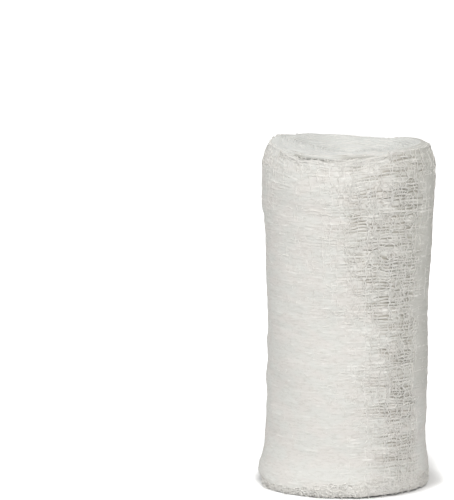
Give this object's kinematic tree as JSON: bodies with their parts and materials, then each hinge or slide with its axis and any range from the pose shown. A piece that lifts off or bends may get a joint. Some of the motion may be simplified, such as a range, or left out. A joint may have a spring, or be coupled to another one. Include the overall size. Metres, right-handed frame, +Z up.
{
  "type": "gauze bandage roll",
  "caption": "Roll of crinkle-weave cotton gauze bandage standing on end, with a waisted side, a soft puffy top showing its wound turns and a step where the strip ends at the back.",
  "frame": {"origin": "middle of the plan of the roll, on the surface that it stands on", "axes": "+Z up along the roll's axis, -Y towards the viewer of the picture, +X to the viewer's right"},
  "size_m": [0.0596, 0.059, 0.1172],
  "materials": {
    "cotton_gauze": "matte white cotton"
  },
  "bodies": {
    "root": {"gauze_roll": "cotton_gauze"}
  },
  "joints": []
}
